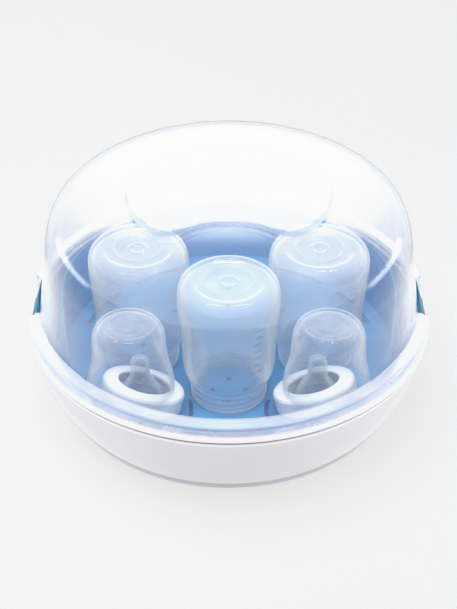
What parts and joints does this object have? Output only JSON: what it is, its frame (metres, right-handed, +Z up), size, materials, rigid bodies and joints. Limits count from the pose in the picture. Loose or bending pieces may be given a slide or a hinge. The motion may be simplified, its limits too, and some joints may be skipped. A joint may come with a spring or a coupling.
{
  "type": "bottle sterilizer",
  "caption": "Round microwave steam sterilizer with a domed clear lid held by side clips over a rack of upturned baby bottles, dome caps, screw rings and teats.",
  "frame": {"origin": "on the resting surface, under the centre of the round base", "axes": "+Z up, +X to the right of someone facing the front, front towards -Y; the two clips are at +X and -X"},
  "size_m": [0.277, 0.28, 0.166],
  "materials": {
    "base_white": "glossy white moulded polypropylene",
    "pin_white": "satin white moulded plastic",
    "lid_clear": "clear glossy moulded plastic, faint lavender tint",
    "clip_blue": "glossy blue moulded plastic",
    "rack_blue": "translucent light blue moulded plastic",
    "bottle_clear": "clear, slightly hazy moulded plastic",
    "cap_clear": "clear glossy moulded plastic",
    "ring_white": "semi-gloss white moulded plastic",
    "teat_silicone": "clear soft silicone"
  },
  "bodies": {
    "base": {"base_bowl": "base_white", "left_clip_pin": "pin_white", "right_clip_pin": "pin_white"},
    "lid": {"lid": "lid_clear"},
    "left_clip": {"left_clip": "clip_blue"},
    "right_clip": {"right_clip": "clip_blue"},
    "rack": {"rack": "rack_blue"},
    "bottle_front": {"bottle_front": "bottle_clear"},
    "bottle_back_left": {"bottle_back_left": "bottle_clear"},
    "bottle_back_right": {"bottle_back_right": "bottle_clear"},
    "cap_left": {"cap_left": "cap_clear"},
    "cap_right": {"cap_right": "cap_clear"},
    "ring_left": {"screw_ring_left": "ring_white", "teat_left": "teat_silicone"},
    "ring_right": {"screw_ring_right": "ring_white", "teat_right": "teat_silicone"}
  },
  "joints": [
    {"name": "lid_lift", "type": "slide", "parent": "base", "child": "lid", "axis": [0, 0, 1], "range_m": [0, 0.4]},
    {"name": "left_clip_hinge", "type": "hinge", "parent": "base", "child": "left_clip", "pos_m": [-0.1354, 0, 0.0536], "axis": [0, -1, 0], "range_deg": [0, 65]},
    {"name": "right_clip_hinge", "type": "hinge", "parent": "base", "child": "right_clip", "pos_m": [0.1354, 0, 0.0536], "axis": [0, 1, 0], "range_deg": [0, 65]},
    {"name": "rack_lift", "type": "slide", "parent": "base", "child": "rack", "axis": [0, 0, 1], "range_m": [0, 0.12]},
    {"name": "bottle_front_lift", "type": "slide", "parent": "rack", "child": "bottle_front", "axis": [0, 0, 1], "range_m": [0, 0.14]},
    {"name": "bottle_back_left_lift", "type": "slide", "parent": "rack", "child": "bottle_back_left", "axis": [0, 0, 1], "range_m": [0, 0.14]},
    {"name": "bottle_back_right_lift", "type": "slide", "parent": "rack", "child": "bottle_back_right", "axis": [0, 0, 1], "range_m": [0, 0.14]},
    {"name": "cap_left_lift", "type": "slide", "parent": "rack", "child": "cap_left", "axis": [0, 0, 1], "range_m": [0, 0.14]},
    {"name": "cap_right_lift", "type": "slide", "parent": "rack", "child": "cap_right", "axis": [0, 0, 1], "range_m": [0, 0.14]},
    {"name": "ring_left_lift", "type": "slide", "parent": "rack", "child": "ring_left", "axis": [0, 0, 1], "range_m": [0, 0.08]},
    {"name": "ring_right_lift", "type": "slide", "parent": "rack", "child": "ring_right", "axis": [0, 0, 1], "range_m": [0, 0.08]}
  ],
  "couplings": [
    {"joint": "rack_lift", "follows": "lid_lift", "ratio": 0.3},
    {"joint": "bottle_front_lift", "follows": "lid_lift", "ratio": 0.35},
    {"joint": "bottle_back_left_lift", "follows": "lid_lift", "ratio": 0.35},
    {"joint": "bottle_back_right_lift", "follows": "lid_lift", "ratio": 0.35},
    {"joint": "cap_left_lift", "follows": "lid_lift", "ratio": 0.35},
    {"joint": "cap_right_lift", "follows": "lid_lift", "ratio": 0.35},
    {"joint": "ring_left_lift", "follows": "lid_lift", "ratio": 0.2},
    {"joint": "ring_right_lift", "follows": "lid_lift", "ratio": 0.2}
  ]
}
